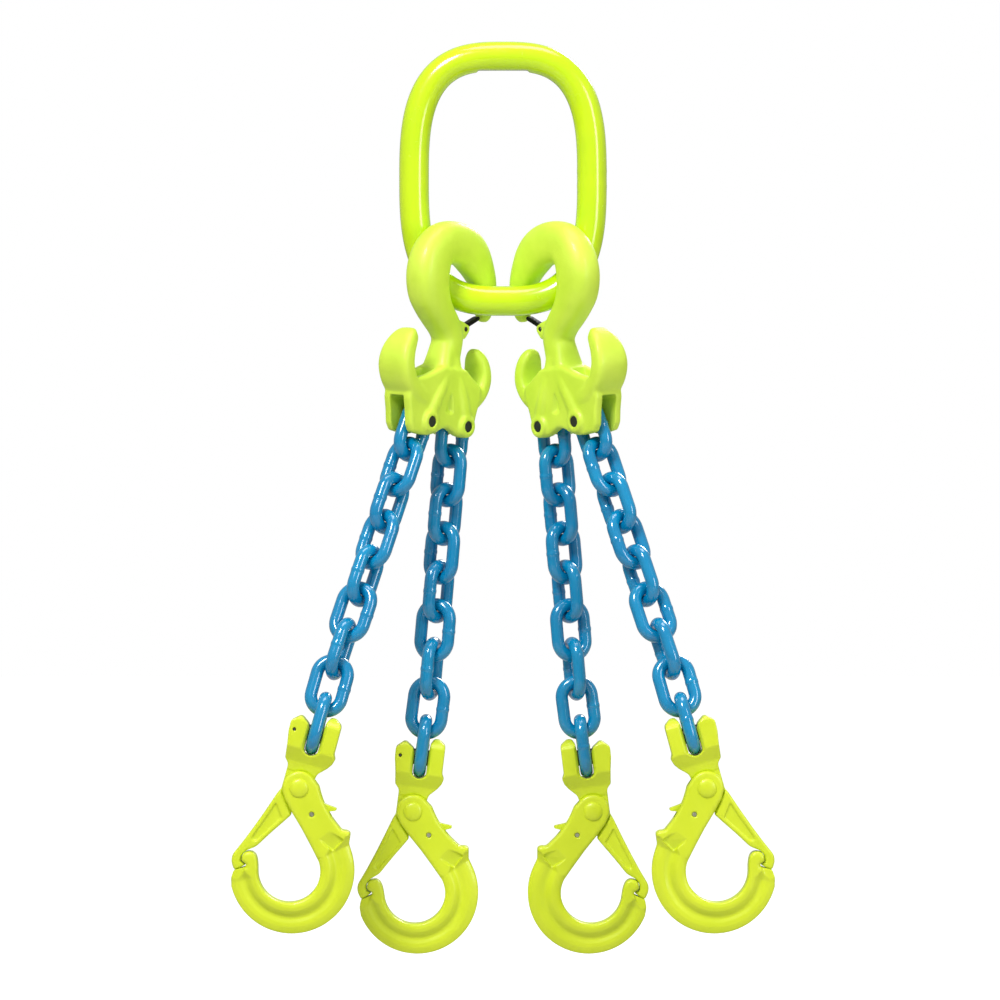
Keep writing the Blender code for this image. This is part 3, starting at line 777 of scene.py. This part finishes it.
def build_leg(side, leg, meshes):
    """One chain leg and its hook."""
    name = f"{side}_{leg}"
    pin_spot, _ = hinge(f"{name}_hook_swing")
    rivet_spot, opening = hinge(f"{name}_hook_open")
    up = (pin_spot - rivet_spot).normalized()
    hook_x = (-opening).cross(up)
    plane = axes(rivet_spot, hook_x, up)
    spots = [hinge(f"{name}_link_{number}_bend") for number in range(1, LINKS + 1)]
    spots.append((plane @ Vector((PIN_X * MM, 0, PIN_Z * MM)), -opening))
    for index in range(LINKS):
        spot, (ahead, lateral) = spots[index][0], spots[index + 1]
        place = axes(spot, lateral, spot - ahead)
        if index % 3 == 1:
            place = place @ tilt("Z", 180)      # every third weld faces the other way
        node = f"{name}_link_{index + 1}"
        mesh = meshes["link" if index else "first_link"]
        piece(f"{node}_welded", mesh, place, node, CHAIN_PAINT, "chain_paint", node)
    head = f"{name}_hook_head"
    body = f"{name}_hook_body"
    trigger = f"{name}_trigger"
    piece(f"{name}_clevis_and_latch", meshes["head"], plane, head, HOOK_PAINT, "hook_paint", head)
    piece(f"{name}_hook_pin", meshes["hook_pin"], plane @ shift(PIN_X, 0, PIN_Z), head, BLACK_STEEL,
          "black_steel", f"{name}_load_pin")
    piece(f"{name}_lock_pin", meshes["lock_pin"], plane @ shift(LOCK_PIN_X, 0, PIN_Z), head, SPRING_STEEL,
          "black_steel")
    piece(f"{name}_bowl", meshes["body"], plane, body, HOOK_PAINT, "hook_paint", body)
    piece(f"{name}_hinge_rivet", meshes["rivet"], plane, body, HOOK_PAINT, "hook_paint")
    pivot = plane @ shift(TRIGGER_PIVOT[0], 0, TRIGGER_PIVOT[1])
    piece(f"{name}_trigger_lever", meshes["trigger"], pivot, trigger, HOOK_PAINT, "hook_paint", trigger)
    piece(f"{name}_trigger_pin", meshes["trigger_pin"], pivot, body, PIN_STEEL, "black_steel")


def build_sling():
    """Every piece of the sling."""
    piece("master_link_bar", master_link(), Matrix(), "master_link", MASTER_PAINT, "master_paint",
          "master_link", smooth_angle=80)
    meshes = {
        "first_link": link_mesh(PIN_TO_LINK_MIDDLE),
        "link": link_mesh(WIRE_TO_LINK_MIDDLE),
        "coupler": coupler_mesh(),
        "coupler_pin": turned([(-15.8, PIN_END - 0.5), (-15.3, PIN_END), (-13, PIN_END), (-13, PIN_RADIUS),
                               (13, PIN_RADIUS), (13, PIN_END), (15.3, PIN_END), (15.8, PIN_END - 0.5)], "y"),
        "keeper": keeper_mesh(),
        "keeper_pin": rod(1.6, -6.8, 6.8, "y", chamfer=0.3),
        "keeper_spring": coil(2.5, 0.35, 3.2, 5.8, 4),
        "head": head_mesh(),
        "hook_pin": rod(PIN_RADIUS, -16, 16, "x", chamfer=0.8),
        "lock_pin": turned([(-12.6, 1.15), (-12.6, 0.6), (-11, 0.6), (-10, 1.0), (-4, 1.15)], "y"),
        "body": body_mesh(),
        "rivet": rivet_mesh(),
        "trigger": trigger_mesh(),
        "trigger_pin": rod(1.75, -10.6, 10.6, "y", chamfer=0.3),
    }
    for side in ("left", "right"):
        build_coupler(side, meshes)
        for leg in ("outer", "inner"):
            build_leg(side, leg, meshes)


# ---------------------------------------------------------------- floor, light and camera

def stage_finish(name, colour):
    """Plain matt studio paper, lit up for the camera only."""
    made = Finish(name)
    duller = tuple(c * 0.985 for c in colour)
    made.set(Base_Color=made.mixed(made.spread(made.noise(2, 2), 0.3, 0.7), colour, duller))
    made.set(Roughness=0.9)
    seen = made.nodes.new("ShaderNodeLightPath").outputs["Is Camera Ray"]
    made.set(Emission_Color=(1, 1, 1), Emission_Strength=made.combined("MULTIPLY", seen, 0.9))
    return made.material


def build_stage():
    """A flat pale floor, well below the hooks."""
    bm = bmesh.new()
    corners = [(-1, -1), (1, -1), (1, 1), (-1, 1)]
    bm.faces.new([bm.verts.new((FLOOR_HALF_WIDTH * x, FLOOR_HALF_WIDTH * y, FLOOR_HEIGHT))
                  for x, y in corners])
    mesh = bpy.data.meshes.new("floor")
    bm.to_mesh(mesh)
    bm.free()
    mesh.materials.append(stage_finish("studio_paper", (0.45, 0.45, 0.45)))
    floor = bpy.data.objects.new("floor", mesh)
    bpy.context.scene.collection.objects.link(floor)


def area_light(name, place, target, size, power):
    """One soft box."""
    data = bpy.data.lights.new(name, "AREA")
    data.shape = "RECTANGLE"
    data.size, data.size_y = size
    data.energy = power
    light = bpy.data.objects.new(name, data)
    bpy.context.scene.collection.objects.link(light)
    light.location = place
    light.rotation_mode = "QUATERNION"
    light.rotation_quaternion = (Vector(target) - Vector(place)).to_track_quat("-Z", "Y")


def build_light():
    """A bright even room with a key from the upper left; the camera sees its walls as white."""
    world = bpy.data.worlds.new("studio")
    bpy.context.scene.world = world
    world.use_nodes = True
    background = world.node_tree.nodes["Background"]
    background.inputs["Color"].default_value = (1, 1, 1, 1)
    seen = world.node_tree.nodes.new("ShaderNodeLightPath").outputs["Is Camera Ray"]
    strength = world.node_tree.nodes.new("ShaderNodeMapRange")
    strength.inputs["To Min"].default_value = 0.34
    world.node_tree.links.new(seen, strength.inputs["Value"])
    world.node_tree.links.new(strength.outputs["Result"], background.inputs["Strength"])
    area_light("key", (-1.0, -2.0, 1.7), MIDDLE, (0.8, 0.8), 64)
    area_light("fill", (1.9, -1.9, 0.3), MIDDLE, (0.6, 1.6), 20)
    area_light("top", (0.2, -0.3, 1.9), (0, 0, -0.3), (1.4, 0.8), 16)
    area_light("back", (1.1, 2.3, 1.3), MIDDLE, (1.0, 1.0), 40)


def build_camera():
    """A long lens square on to the front."""
    data = bpy.data.cameras.new("camera")
    data.sensor_width = 36
    data.lens = 196
    camera = bpy.data.objects.new("camera", data)
    bpy.context.scene.collection.objects.link(camera)
    camera.location = CAMERA_PLACE
    camera.rotation_euler = (math.pi / 2, 0, 0)
    bpy.context.scene.camera = camera


bpy.context.scene.view_settings.view_transform = "Standard"
build_sling()
build_stage()
build_light()
build_camera()
